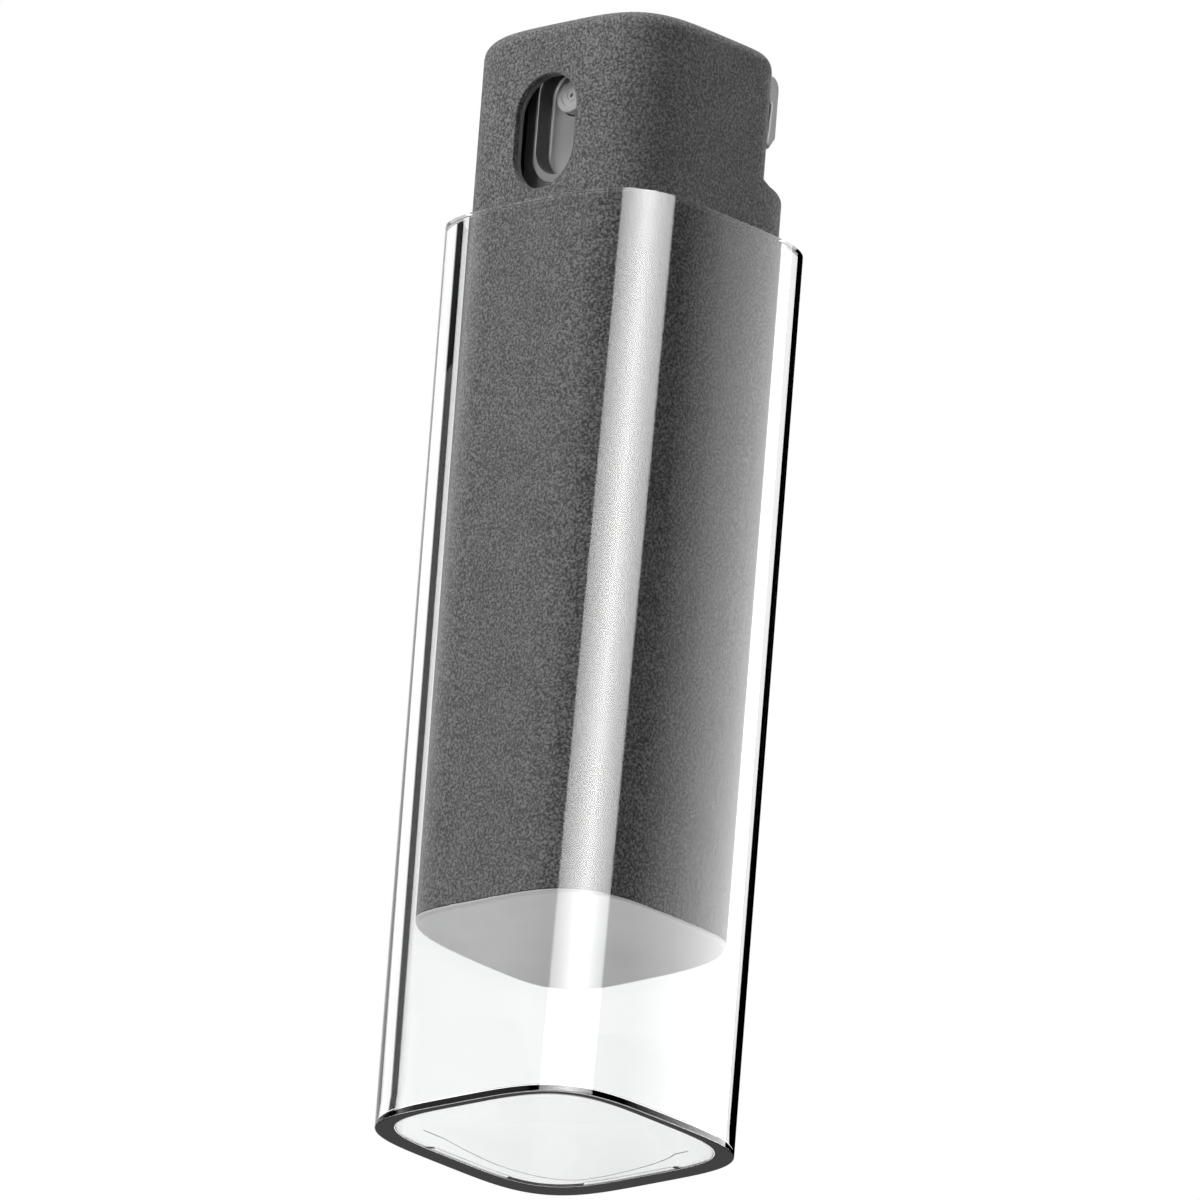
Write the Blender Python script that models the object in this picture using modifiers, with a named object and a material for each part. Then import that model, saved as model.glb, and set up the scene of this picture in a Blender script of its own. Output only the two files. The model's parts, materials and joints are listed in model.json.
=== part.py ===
"""Pocket lens cleaning spray: a finger-tab pump sprayer in a microfibre body that slides in a clear cover.

Metres, +Z up. The origin is the middle of the cover's underside. The spray window faces -Y and the
finger tab is at +Y. The body stands part way out of the cover, as it does when it is being drawn.
"""

import math

import bmesh
import bpy
from mathutils import Matrix, Vector

# Section shared by the cover, cloth, shell, plug and bottle: a square with bowed sides
SQUARENESS = 4.0
ROUND = 2.0
SECTION_POINTS = 48
TURNED_STEPS = 28
ARC_STEPS = 4
SLOT_END_STEPS = 10
BALL_SEGMENTS = 16
BALL_RINGS = 10
SHARP_ANGLE = 35

# Clearances
SEAT_GAP = 0.0003
GLUE_GAP = 0.0001
SLIDE_GAP = 0.0005
RUN_GAP = 0.0001
FIT_GAP = 0.00015
LOOSE_GAP = 0.0004

# Clear cover
COVER_WALL = 0.0015
COVER_FLOOR = 0.001
COVER_FOOT_ROUND = 0.0004
COVER_RIM_ROUND = 0.0004
COVER_FLOOR_ROUND = 0.0014
BODY_PROUD = 0.0001
PULLED_OUT = 0.0184

# Body: cloth over a moulded shell
BODY_HALF = 0.012
BODY_LENGTH = 0.0864
BODY_TOP_ROUND = 0.002
CLOTH = 0.0005
SHELL_WALL = 0.001

# Notch in the upper back of the body, open at the top
NOTCH_DEPTH = 0.0049
NOTCH_DROP = 0.0125
NOTCH_CORNER = 0.00275
NOTCH_LIP_ROUND = 0.00125

# Plug that closes the bottom of the shell, with a lip under the cloth's edge
PLUG_LIP = 0.0004
PLUG_FLANGE = 0.0015
PLUG_SPIGOT = 0.0025
PLUG_WALL = 0.0012
PLUG_EDGE_ROUND = 0.0003

# Spray window in the front of the body
WINDOW_WIDTH = 0.0075
WINDOW_HEIGHT = 0.0112
WINDOW_DROP = 0.01105

# Actuator: pressing it brings the nozzle to the middle of the window
PRESS_TRAVEL = 0.0044
ACTUATOR_WALL = 0.0012
ACTUATOR_ROOF_GAP = 0.0005
ACTUATOR_FRONT_GAP = 0.0005
ACTUATOR_BACK_GAP = 0.0006
ACTUATOR_BACK_WALL = 0.0024
ACTUATOR_CORNER = 0.0008
PLATE_LAP = 0.00155
PLATE_LAP_BELOW = 0.0005
RECESS_WIDTH = 0.0058
RECESS_RUN = 0.0051
RECESS_DEPTH = 0.002
POST_BELOW = 0.0027
POST_WALL = 0.0014
SOCKET_DEPTH = 0.004
CHANNEL_DIAMETER = 0.0016

# Nozzle insert
NOZZLE_DIAMETER = 0.0034
NOZZLE_STAND = 0.001
NOZZLE_SEAT = 0.0022
NOZZLE_ORIFICE = 0.0004
NOZZLE_RING_STEP = 0.00015
NOZZLE_FACE = 0.0008

# Finger tab
TAB_WIDTH = 0.0149
TAB_HEIGHT = 0.007
TAB_TOP_DROP = 0.0003
TAB_PLATFORM = 0.0024
TAB_SKIRT = 0.0011
TAB_EDGE_ROUND = 0.0012
TAB_WALL_GAP = 0.0004
ARM_WIDTH = 0.006
ARM_THICK = 0.0021
ARM_ROOF_GAP = 0.0007
ARM_GRIP = 0.002
ARM_SLOT_SPARE = 0.0005

# Pump
STEM_DIAMETER = 0.0032
STEM_BORE = 0.0014
STEM_STOP_GAP = 0.0006
CHAMBER_BORE = 0.0062
HOUSING_WALL = 0.0009
HOUSING_FLANGE = 0.0012
HOUSING_FLANGE_LAP = 0.0017
RETAINER_FLANGE = 0.0016
RETAINER_FLANGE_LAP = 0.001
RETAINER_SPIGOT = 0.0013
SEAL_THICK = 0.0008
PISTON_HEIGHT = 0.003
PISTON_LIP = 0.0004
PISTON_SOCKET = 0.0018
POPPET_FLANGE = 0.001
POPPET_SPIGOT = 0.002
POPPET_TIP = 0.001
SPRING_WIRE = 0.0005
SPRING_MEAN_DIAMETER = 0.0043
SPRING_TURNS = 5.5
SPRING_SPARE = 0.00095
SPRING_POINTS_PER_TURN = 10
BALL_DIAMETER = 0.0024
BALL_LIFT = 0.0004
DIP_DIAMETER = 0.0024
DIP_BORE = 0.0014
DIP_GRIP = 0.005
DIP_CLEAR = 0.0012
TAIL_WALL = 0.00085

# Collar and the bottle that it screws on
COLLAR_WALL = 0.0017
COLLAR_PLATE = 0.0012
COLLAR_HOLE_GAP = 0.0003
THREAD_ROOM = 0.0005
GASKET_THICK = 0.0008
NECK_DIAMETER = 0.012
NECK_WALL = 0.0012
NECK_LENGTH = 0.0077
NECK_BEAD = 0.001
BOTTLE_WALL = 0.001
BOTTLE_FOOT_ROUND = 0.0012
SHOULDER_RISE = 0.003

# Heights in the body's frame, whose zero is the body's underside
BODY_BASE = COVER_FLOOR + SEAT_GAP + PULLED_OUT
COVER_LENGTH = COVER_FLOOR + SEAT_GAP + BODY_LENGTH - BODY_PROUD
SHELL_INSET = CLOTH + GLUE_GAP
ROOM_INSET = SHELL_INSET + SHELL_WALL
ROOM_HALF = BODY_HALF - ROOM_INSET
ROOF = BODY_LENGTH - ROOM_INSET
SHELL_BOTTOM = PLUG_FLANGE + SEAT_GAP
CLOTH_BOTTOM = PLUG_LIP + GLUE_GAP
PLUG_TOP = PLUG_FLANGE + PLUG_SPIGOT
NOTCH_FLOOR = BODY_LENGTH - NOTCH_DROP
NOTCH_WALL_Y = BODY_HALF - NOTCH_DEPTH
WINDOW_MIDDLE = BODY_LENGTH - WINDOW_DROP
NOZZLE_HEIGHT = WINDOW_MIDDLE + PRESS_TRAVEL
PLATE_BOTTOM = WINDOW_MIDDLE - WINDOW_HEIGHT / 2 - PLATE_LAP_BELOW
ACTUATOR_TOP = ROOF - ACTUATOR_ROOF_GAP
ACTUATOR_FRONT_Y = -(ROOM_HALF - ACTUATOR_FRONT_GAP)
ACTUATOR_BACK_Y = NOTCH_WALL_Y - ROOM_INSET - ACTUATOR_BACK_GAP
RECESS_FLOOR_Y = ACTUATOR_FRONT_Y + RECESS_DEPTH
ARM_TOP = ROOF - ARM_ROOF_GAP
ARM_BOTTOM = ARM_TOP - ARM_THICK
SOCKET_BOTTOM = PLATE_BOTTOM - POST_BELOW
SOCKET_TOP = SOCKET_BOTTOM + SOCKET_DEPTH
STEM_TOP = SOCKET_TOP - SEAT_GAP
RETAINER_TOP = SOCKET_BOTTOM - PRESS_TRAVEL - STEM_STOP_GAP
RETAINER_SEAT = RETAINER_TOP - RETAINER_FLANGE
HOUSING_TOP = RETAINER_SEAT - SEAT_GAP
SEAL_TOP = RETAINER_SEAT - RETAINER_SPIGOT - SEAT_GAP
PISTON_TOP = SEAL_TOP - SEAL_THICK - SEAT_GAP
PISTON_BOTTOM = PISTON_TOP - PISTON_HEIGHT
STEM_BOTTOM = PISTON_TOP - PISTON_SOCKET + SEAT_GAP
POPPET_TOP = PISTON_BOTTOM - SEAT_GAP
SPRING_TOP = POPPET_TOP - POPPET_FLANGE - SEAT_GAP
SPRING_BOTTOM = SPRING_TOP - PRESS_TRAVEL - (SPRING_TURNS + 1) * SPRING_WIRE - SPRING_SPARE
CHAMBER_FLOOR = SPRING_BOTTOM - SEAT_GAP
GASKET_TOP = HOUSING_TOP - HOUSING_FLANGE - SEAT_GAP
NECK_TOP = GASKET_TOP - GASKET_THICK - SEAT_GAP
NECK_BASE = NECK_TOP - NECK_LENGTH
BOTTLE_BOTTOM = PLUG_TOP + SEAT_GAP
COLLAR_SEAT = HOUSING_TOP + SEAT_GAP

# Radii that one piece shares with the next
SOCKET_RADIUS = STEM_DIAMETER / 2 + RUN_GAP
POST_RADIUS = SOCKET_RADIUS + POST_WALL
NOZZLE_BORE_RADIUS = NOZZLE_DIAMETER / 2 + FIT_GAP
CHAMBER_RADIUS = CHAMBER_BORE / 2
HOUSING_RADIUS = CHAMBER_RADIUS + HOUSING_WALL
RETAINER_RADIUS = CHAMBER_RADIUS + RETAINER_FLANGE_LAP
NECK_RADIUS = NECK_DIAMETER / 2
BALL_RADIUS = BALL_DIAMETER / 2
POCKET_RADIUS = BALL_RADIUS + LOOSE_GAP
DIP_SEAT_RADIUS = DIP_DIAMETER / 2 + FIT_GAP
TAIL_RADIUS = DIP_SEAT_RADIUS + TAIL_WALL

# Ball seat: a cone at 45 degrees from the pocket down to the dip tube's bore
POCKET_BOTTOM = CHAMBER_FLOOR - BALL_DIAMETER - BALL_LIFT
SEAT_BOTTOM = POCKET_BOTTOM - (POCKET_RADIUS - DIP_BORE / 2)
SEAT_APEX = SEAT_BOTTOM - DIP_BORE / 2
BALL_MIDDLE = SEAT_APEX + (BALL_RADIUS + SEAT_GAP) * math.sqrt(2)
DIP_TOP = SEAT_BOTTOM - HOUSING_WALL
TAIL_BOTTOM = DIP_TOP - DIP_GRIP

CUT_PAST = 0.004


def clear_scene():
    for item in list(bpy.data.objects):
        bpy.data.objects.remove(item, do_unlink=True)


def new_collection(name, hidden=False):
    collection = bpy.data.collections.new(name)
    collection.hide_render = hidden
    bpy.context.scene.collection.children.link(collection)
    return collection


def new_empty(name, height, parent=None):
    empty = bpy.data.objects.new(name, None)
    empty.location = (0, 0, height)
    empty.parent = parent
    parts.objects.link(empty)
    return empty


def finish(name, colour, roughness, metallic=0.0, alpha=1.0):
    material = bpy.data.materials.new(name)
    material.use_nodes = True
    shader = material.node_tree.nodes["Principled BSDF"]
    shader.inputs["Base Color"].default_value = (*colour, 1)
    shader.inputs["Roughness"].default_value = roughness
    shader.inputs["Metallic"].default_value = metallic
    shader.inputs["Alpha"].default_value = alpha
    return material


def add_piece(name, mesh, parent, material):
    piece = bpy.data.objects.new(name, mesh)
    piece.data.materials.append(material)
    piece.data.shade_smooth()
    piece.data.set_sharp_from_angle(angle=math.radians(SHARP_ANGLE))
    piece.parent = parent
    parts.objects.link(piece)
    return piece


def add_cutter(name, mesh, parent, matrix=Matrix()):
    cutter = bpy.data.objects.new(name, mesh)
    cutter.parent = parent
    cutter.matrix_local = matrix
    cutter.hide_render = True
    cutter.display_type = "WIRE"
    cutters.objects.link(cutter)
    return cutter


def combine(piece, other, operation):
    modifier = piece.modifiers.new(operation.title() + " " + other.name, "BOOLEAN")
    modifier.operation = operation
    modifier.solver = "EXACT"
    modifier.object = other


def mesh_of(bm, name):
    bmesh.ops.recalc_face_normals(bm, faces=bm.faces[:])
    mesh = bpy.data.meshes.new(name)
    bm.to_mesh(mesh)
    bm.free()
    return mesh


# Sections and lofts

def squircle_point(half, turn, power=SQUARENESS):
    across = math.cos(turn)
    along = math.sin(turn)
    x = math.copysign(abs(across) ** (2 / power), across)
    y = math.copysign(abs(along) ** (2 / power), along)
    return Vector((half * x, half * y))


def section(half, height, power=SQUARENESS):
    turns = [2 * math.pi * i / SECTION_POINTS for i in range(SECTION_POINTS)]
    return [squircle_point(half, turn, power).to_3d() + Vector((0, 0, height)) for turn in turns]


def loft(name, rings):
    """A closed skin through rings of equal point count, with a flat cap on the first and the last."""
    bm = bmesh.new()
    rows = [[bm.verts.new(point) for point in ring] for ring in rings]
    count = len(rings[0])
    for lower, upper in zip(rows, rows[1:]):
        for i in range(count):
            after = (i + 1) % count
            bm.faces.new((lower[i], lower[after], upper[after], upper[i]))
    bm.faces.new(rows[0])
    bm.faces.new(rows[-1])
    bmesh.ops.remove_doubles(bm, verts=bm.verts[:], dist=1e-7)
    return mesh_of(bm, name)


def rounded(half, height, radius, inward, upward):
    """(half, height) pairs along a quarter round that ends on a vertical wall at `half`."""
    pairs = []
    for step in range(ARC_STEPS + 1):
        turn = math.pi / 2 * step / ARC_STEPS
        inset = radius * (1 - math.sin(turn)) * inward
        pairs.append((half - inset, height + upward * radius * (1 - math.cos(turn))))
    return pairs


def notch_point(point, inset):
    """Where the ray from the axis to a section point meets the notch's wall, with its round corners."""
    wall = NOTCH_WALL_Y - inset
    corner = NOTCH_CORNER - inset
    corner_y = wall - corner
    if point.y <= corner_y:
        return point.copy()
    half = BODY_HALF - inset
    side = (half**SQUARENESS - corner_y**SQUARENESS) ** (1 / SQUARENESS)
    corner_x = side - corner
    share = wall / point.y
    if abs(point.x) * share > corner_x:
        middle = Vector((math.copysign(corner_x, point.x), corner_y))
        along = point.dot(middle) / point.dot(point)
        spare = along * along - (middle.dot(middle) - corner * corner) / point.dot(point)
        share = along + math.sqrt(spare)
    return point * min(share, 1.0)


def body_rings(inset, bottom):
    """Rings of the body's form from its top down, inset from the cloth's outside by one distance all over."""
    half = BODY_HALF - inset
    top = BODY_LENGTH - inset
    floor = NOTCH_FLOOR - inset
    top_round = BODY_TOP_ROUND - inset
    lip_round = max(NOTCH_LIP_ROUND - inset, SEAT_GAP)
    turns = [2 * math.pi * i / SECTION_POINTS for i in range(SECTION_POINTS)]
    outline = [squircle_point(half, turn) for turn in turns]
    head = [notch_point(point, inset) for point in outline]
    rings = []
    for shrunk, height in rounded(half, top, top_round, 1, -1):
        rings.append([(point * shrunk / half).to_3d() + Vector((0, 0, height)) for point in head])
    rings.append([point.to_3d() + Vector((0, 0, floor)) for point in head])
    for step in range(ARC_STEPS + 1):
        turn = math.pi / 2 * step / ARC_STEPS
        height = floor - lip_round * (1 - math.cos(turn))
        ring = []
        for outer, inner in zip(outline, head):
            depth = (outer - inner).length
            lean = min(lip_round, depth) * (1 - math.sin(turn))
            towards = (inner - outer) / depth if depth > 0 else Vector((0, 0))
            ring.append((outer + towards * lean).to_3d() + Vector((0, 0, height)))
        rings.append(ring)
    rings.append([point.to_3d() + Vector((0, 0, bottom)) for point in outline])
    return rings


def loft_of_pairs(name, pairs):
    return loft(name, [section(half, height) for half, height in pairs])


# Turned and extruded shapes

def turned(name, profile, parent, material, closed=True):
    """A profile of (radius, height) pairs, down its outer side first, turned about the Z axis."""
    mesh = bpy.data.meshes.new(name)
    edges = [(i, i + 1) for i in range(len(profile) - 1)]
    if closed:
        edges.append((len(profile) - 1, 0))
    mesh.from_pydata([(radius, 0, height) for radius, height in profile], edges, [])
    piece = bpy.data.objects.new(name, mesh)
    piece.data.materials.append(material)
    piece.parent = parent
    parts.objects.link(piece)
    screw = piece.modifiers.new("Turn", "SCREW")
    screw.steps = TURNED_STEPS
    screw.render_steps = TURNED_STEPS
    screw.use_merge_vertices = True
    screw.merge_threshold = 1e-6
    screw.use_smooth_shade = True
    return piece


def tube(outer, inner, low, high):
    return [(outer, high), (outer, low), (inner, low), (inner, high)]


def rod_mesh(name, radius, low, high):
    bm = bmesh.new()
    ends = bmesh.ops.create_cone(
        bm, cap_ends=True, segments=TURNED_STEPS, radius1=radius, radius2=radius, depth=high - low
    )
    bmesh.ops.translate(bm, verts=ends["verts"], vec=(0, 0, (low + high) / 2))
    return mesh_of(bm, name)


def box_mesh(name, low, high):
    bm = bmesh.new()
    corners = bmesh.ops.create_cube(bm, size=1)["verts"]
    size = Vector(high) - Vector(low)
    bmesh.ops.scale(bm, verts=corners, vec=size)
    bmesh.ops.translate(bm, verts=corners, vec=Vector(low) + size / 2)
    return mesh_of(bm, name)


def arc(middle, radius, start, stop, steps):
    turns = [math.radians(start + (stop - start) * i / steps) for i in range(steps + 1)]
    return [(middle[0] + radius * math.cos(turn), middle[1] + radius * math.sin(turn)) for turn in turns]


def stadium(width, run):
    """Outline of a slot with round ends, its lower end's middle at zero and its upper one `run` above."""
    radius = width / 2
    return arc((0, run), radius, 0, 180, SLOT_END_STEPS) + arc((0, 0), radius, 180, 360, SLOT_END_STEPS)


def round_rectangle(low, high, radius):
    return (
        arc((high[0] - radius, high[1] - radius), radius, 0, 90, ARC_STEPS)
        + arc((low[0] + radius, high[1] - radius), radius, 90, 180, ARC_STEPS)
        + arc((low[0] + radius, low[1] + radius), radius, 180, 270, ARC_STEPS)
        + arc((high[0] - radius, low[1] + radius), radius, 270, 360, ARC_STEPS)
    )


def extruded(name, outline, thickness):
    """A mesh of a flat outline in X and Y, extruded by half its thickness each way along Z."""
    curve = bpy.data.curves.new(name, "CURVE")
    curve.dimensions = "2D"
    curve.fill_mode = "BOTH"
    curve.extrude = thickness / 2
    spline = curve.splines.new("POLY")
    spline.points.add(len(outline) - 1)
    for point, (x, y) in zip(spline.points, outline):
        point.co = (x, y, 0, 1)
    spline.use_cyclic_u = True
    guide = bpy.data.objects.new(name, curve)
    bpy.context.scene.collection.objects.link(guide)
    graph = bpy.context.evaluated_depsgraph_get()
    mesh = bpy.data.meshes.new_from_object(guide.evaluated_get(graph))
    bpy.data.objects.remove(guide, do_unlink=True)
    bpy.data.curves.remove(curve)
    bm = bmesh.new()
    bm.from_mesh(mesh)
    bpy.data.meshes.remove(mesh)
    bmesh.ops.remove_doubles(bm, verts=bm.verts[:], dist=1e-7)
    return mesh_of(bm, name)


def facing_front(y, height):
    """Turns an outline drawn in X and Y to stand in X and Z, with its middle at one depth and height."""
    return Matrix.Translation((0, y, height)) @ Matrix.Rotation(math.pi / 2, 4, "X")


# Clear cover

def make_cover():
    outer = BODY_HALF + SLIDE_GAP + COVER_WALL
    inner = BODY_HALF + SLIDE_GAP
    rim = COVER_LENGTH
    pairs = rounded(outer, 0, COVER_FOOT_ROUND, 1, 1)
    pairs += reversed(rounded(outer, rim, COVER_RIM_ROUND, 1, -1))
    pairs += rounded(inner, rim, COVER_RIM_ROUND, -1, -1)
    pairs += reversed(rounded(inner, COVER_FLOOR, COVER_FLOOR_ROUND, 1, 1))
    add_piece("clear_cover", loft_of_pairs("clear_cover", pairs), None, clear_plastic)


# Body

def window_cutter():
    run = WINDOW_HEIGHT - WINDOW_WIDTH
    reach = ROOM_INSET + CUT_PAST
    mesh = extruded("window_cutter", stadium(WINDOW_WIDTH, run), 2 * reach)
    return add_cutter("window_cutter", mesh, body, facing_front(-BODY_HALF, WINDOW_MIDDLE - run / 2))


def arm_slot_cutter():
    half = ARM_WIDTH / 2 + LOOSE_GAP
    low = (-half, NOTCH_WALL_Y - ROOM_INSET - SHELL_WALL, ARM_BOTTOM - PRESS_TRAVEL - ARM_SLOT_SPARE)
    high = (half, NOTCH_WALL_Y + SHELL_WALL, ARM_TOP + LOOSE_GAP)
    return add_cutter("arm_slot_cutter", box_mesh("arm_slot_cutter", low, high), body)


def make_sleeve_and_shell():
    window = window_cutter()
    arm_slot = arm_slot_cutter()
    cloth_rings = body_rings(0, CLOTH_BOTTOM) + list(reversed(body_rings(CLOTH, CLOTH_BOTTOM)))
    shell_rings = body_rings(SHELL_INSET, SHELL_BOTTOM) + list(reversed(body_rings(ROOM_INSET, SHELL_BOTTOM)))
    sleeve = add_piece("microfibre_sleeve", loft("microfibre_sleeve", cloth_rings), body, microfibre)
    shell = add_piece("body_shell", loft("body_shell", shell_rings), body, dark_plastic)
    for piece in (sleeve, shell):
        combine(piece, window, "DIFFERENCE")
        combine(piece, arm_slot, "DIFFERENCE")


def make_plug():
    flange = BODY_HALF - SHELL_INSET
    spigot = ROOM_HALF - FIT_GAP
    pairs = rounded(BODY_HALF, 0, PLUG_EDGE_ROUND, 1, 1)
    pairs += [(BODY_HALF, PLUG_LIP), (flange, PLUG_LIP), (flange, PLUG_FLANGE)]
    pairs += [(spigot, PLUG_FLANGE), (spigot, PLUG_TOP)]
    pairs += [(spigot - PLUG_WALL, PLUG_TOP), (spigot - PLUG_WALL, PLUG_FLANGE)]
    add_piece("base_plug", loft_of_pairs("base_plug", pairs), body, pale_plastic)


def make_bottle():
    outer = ROOM_HALF - LOOSE_GAP
    inner = outer - BOTTLE_WALL
    neck_inner = NECK_RADIUS - NECK_WALL
    shoulder = NECK_BASE - SHOULDER_RISE
    bead = NECK_RADIUS + NECK_BEAD
    inside_floor = BOTTLE_BOTTOM + BOTTLE_WALL
    rings = [section(*pair) for pair in rounded(outer, BOTTLE_BOTTOM, BOTTLE_FOOT_ROUND, 1, 1)]
    rings.append(section(outer, shoulder))
    neck = [(NECK_RADIUS, NECK_BASE), (bead, NECK_BASE), (bead, NECK_BASE + NECK_BEAD)]
    neck += [(NECK_RADIUS, NECK_BASE + NECK_BEAD), (NECK_RADIUS, NECK_TOP)]
    neck += [(neck_inner, NECK_TOP), (neck_inner, NECK_BASE - BOTTLE_WALL)]
    rings += [section(radius, height, ROUND) for radius, height in neck]
    rings.append(section(inner, shoulder - BOTTLE_WALL))
    rings.append(section(inner, inside_floor))
    add_piece("reservoir_bottle", loft("reservoir_bottle", rings), body, clear_plastic)


# Pump pieces that stay with the bottle

def make_collar():
    inner = NECK_RADIUS + THREAD_ROOM
    outer = inner + COLLAR_WALL
    hole = RETAINER_RADIUS + COLLAR_HOLE_GAP
    low = NECK_BASE + 2 * NECK_BEAD
    top = COLLAR_SEAT + COLLAR_PLATE
    profile = [(outer - COLLAR_PLATE / 2, top), (outer, top - COLLAR_PLATE / 2), (outer, low), (inner, low)]
    profile += [(inner, COLLAR_SEAT), (hole, COLLAR_SEAT), (hole, top)]
    turned("pump_collar", profile, body, white_plastic)


def make_gasket():
    inner = HOUSING_RADIUS + SEAT_GAP
    profile = tube(NECK_RADIUS, inner, GASKET_TOP - GASKET_THICK, GASKET_TOP)
    turned("neck_gasket", profile, body, rubber)


def make_housing():
    flange = HOUSING_RADIUS + HOUSING_FLANGE_LAP
    flange_low = HOUSING_TOP - HOUSING_FLANGE
    pocket_outer = POCKET_RADIUS + HOUSING_WALL
    profile = [(flange, HOUSING_TOP), (flange, flange_low), (HOUSING_RADIUS, flange_low)]
    profile += [(HOUSING_RADIUS, CHAMBER_FLOOR), (pocket_outer, CHAMBER_FLOOR - HOUSING_WALL)]
    profile += [(pocket_outer, POCKET_BOTTOM), (TAIL_RADIUS, SEAT_BOTTOM), (TAIL_RADIUS, TAIL_BOTTOM)]
    profile += [(DIP_SEAT_RADIUS, TAIL_BOTTOM), (DIP_SEAT_RADIUS, DIP_TOP + SEAT_GAP)]
    profile += [(DIP_BORE / 2, DIP_TOP + SEAT_GAP), (DIP_BORE / 2, SEAT_BOTTOM)]
    profile += [(POCKET_RADIUS, POCKET_BOTTOM), (POCKET_RADIUS, CHAMBER_FLOOR)]
    profile += [(CHAMBER_RADIUS, CHAMBER_FLOOR), (CHAMBER_RADIUS, HOUSING_TOP)]
    turned("pump_housing", profile, body, white_plastic)


def make_retainer():
    spigot = CHAMBER_RADIUS - FIT_GAP
    low = RETAINER_SEAT - RETAINER_SPIGOT
    profile = [(RETAINER_RADIUS, RETAINER_TOP), (RETAINER_RADIUS, RETAINER_SEAT), (spigot, RETAINER_SEAT)]
    profile += [(spigot, low), (SOCKET_RADIUS, low), (SOCKET_RADIUS, RETAINER_TOP)]
    turned("pump_retainer", profile, body, white_plastic)


def make_stem_seal():
    profile = tube(CHAMBER_RADIUS - FIT_GAP, SOCKET_RADIUS, SEAL_TOP - SEAL_THICK, SEAL_TOP)
    turned("stem_seal", profile, body, rubber)


def make_dip_tube():
    low = BOTTLE_BOTTOM + BOTTLE_WALL + DIP_CLEAR
    turned("dip_tube", tube(DIP_DIAMETER / 2, DIP_BORE / 2, low, DIP_TOP), body, clear_plastic)


def make_ball():
    bm = bmesh.new()
    bmesh.ops.create_uvsphere(bm, u_segments=BALL_SEGMENTS, v_segments=BALL_RINGS, radius=BALL_RADIUS)
    ball = add_piece("inlet_ball", mesh_of(bm, "inlet_ball"), body, steel)
    ball.location = (0, 0, BALL_MIDDLE)


def make_spring():
    radius = SPRING_MEAN_DIAMETER / 2
    low = SPRING_BOTTOM + SPRING_WIRE / 2
    rise = SPRING_TOP - SPRING_BOTTOM - SPRING_WIRE
    count = round(SPRING_TURNS * SPRING_POINTS_PER_TURN) + 1
    points = []
    for i in range(count):
        share = i / (count - 1)
        turn = 2 * math.pi * SPRING_TURNS * share
        points.append(Vector((radius * math.cos(turn), radius * math.sin(turn), low + rise * share)))
    curve = bpy.data.curves.new("return_spring", "CURVE")
    curve.dimensions = "3D"
    curve.bevel_depth = SPRING_WIRE / 2
    curve.bevel_resolution = 1
    curve.use_fill_caps = True
    spline = curve.splines.new("POLY")
    spline.points.add(count - 1)
    for place, point in zip(spline.points, points):
        place.co = (*point, 1)
    curve.materials.append(steel)
    spring = bpy.data.objects.new("return_spring", curve)
    spring.parent = body
    parts.objects.link(spring)
    near = SPRING_POINTS_PER_TURN // 2
    pairs = [(a, b) for i, a in enumerate(points) for b in points[i + near:]]
    gap = min((a - b).length for a, b in pairs) - SPRING_WIRE
    print(f"return spring: least gap between turns {gap * 1000:.2f} mm")


# Pieces that the finger tab presses down

def make_stem():
    turned("pump_stem", tube(STEM_DIAMETER / 2, STEM_BORE / 2, STEM_BOTTOM, STEM_TOP), press, white_plastic)


def make_piston():
    outer = CHAMBER_RADIUS - RUN_GAP
    waist = outer - PISTON_LIP
    socket = STEM_DIAMETER / 2 + RUN_GAP
    socket_low = PISTON_TOP - PISTON_SOCKET
    profile = [(waist, PISTON_TOP), (outer, PISTON_TOP - PISTON_LIP), (waist, PISTON_TOP - 3 * PISTON_LIP)]
    profile += [(waist, PISTON_BOTTOM + 3 * PISTON_LIP), (outer, PISTON_BOTTOM + PISTON_LIP)]
    profile += [(waist, PISTON_BOTTOM), (STEM_BORE / 2, PISTON_BOTTOM), (STEM_BORE / 2, socket_low)]
    profile += [(socket, socket_low), (socket, PISTON_TOP)]
    turned("piston", profile, press, white_plastic)


def make_poppet():
    flange = SPRING_MEAN_DIAMETER / 2 + SPRING_WIRE / 2
    spigot = SPRING_MEAN_DIAMETER / 2 - SPRING_WIRE / 2 - SEAT_GAP
    tip = STEM_BORE / 2 - FIT_GAP
    flange_low = POPPET_TOP - POPPET_FLANGE
    profile = [(0, POPPET_TOP + POPPET_TIP), (tip, POPPET_TOP), (flange, POPPET_TOP), (flange, flange_low)]
    profile += [(spigot, flange_low), (spigot, flange_low - POPPET_SPIGOT), (0, flange_low - POPPET_SPIGOT)]
    turned("outlet_poppet", profile, press, white_plastic, closed=False)


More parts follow.
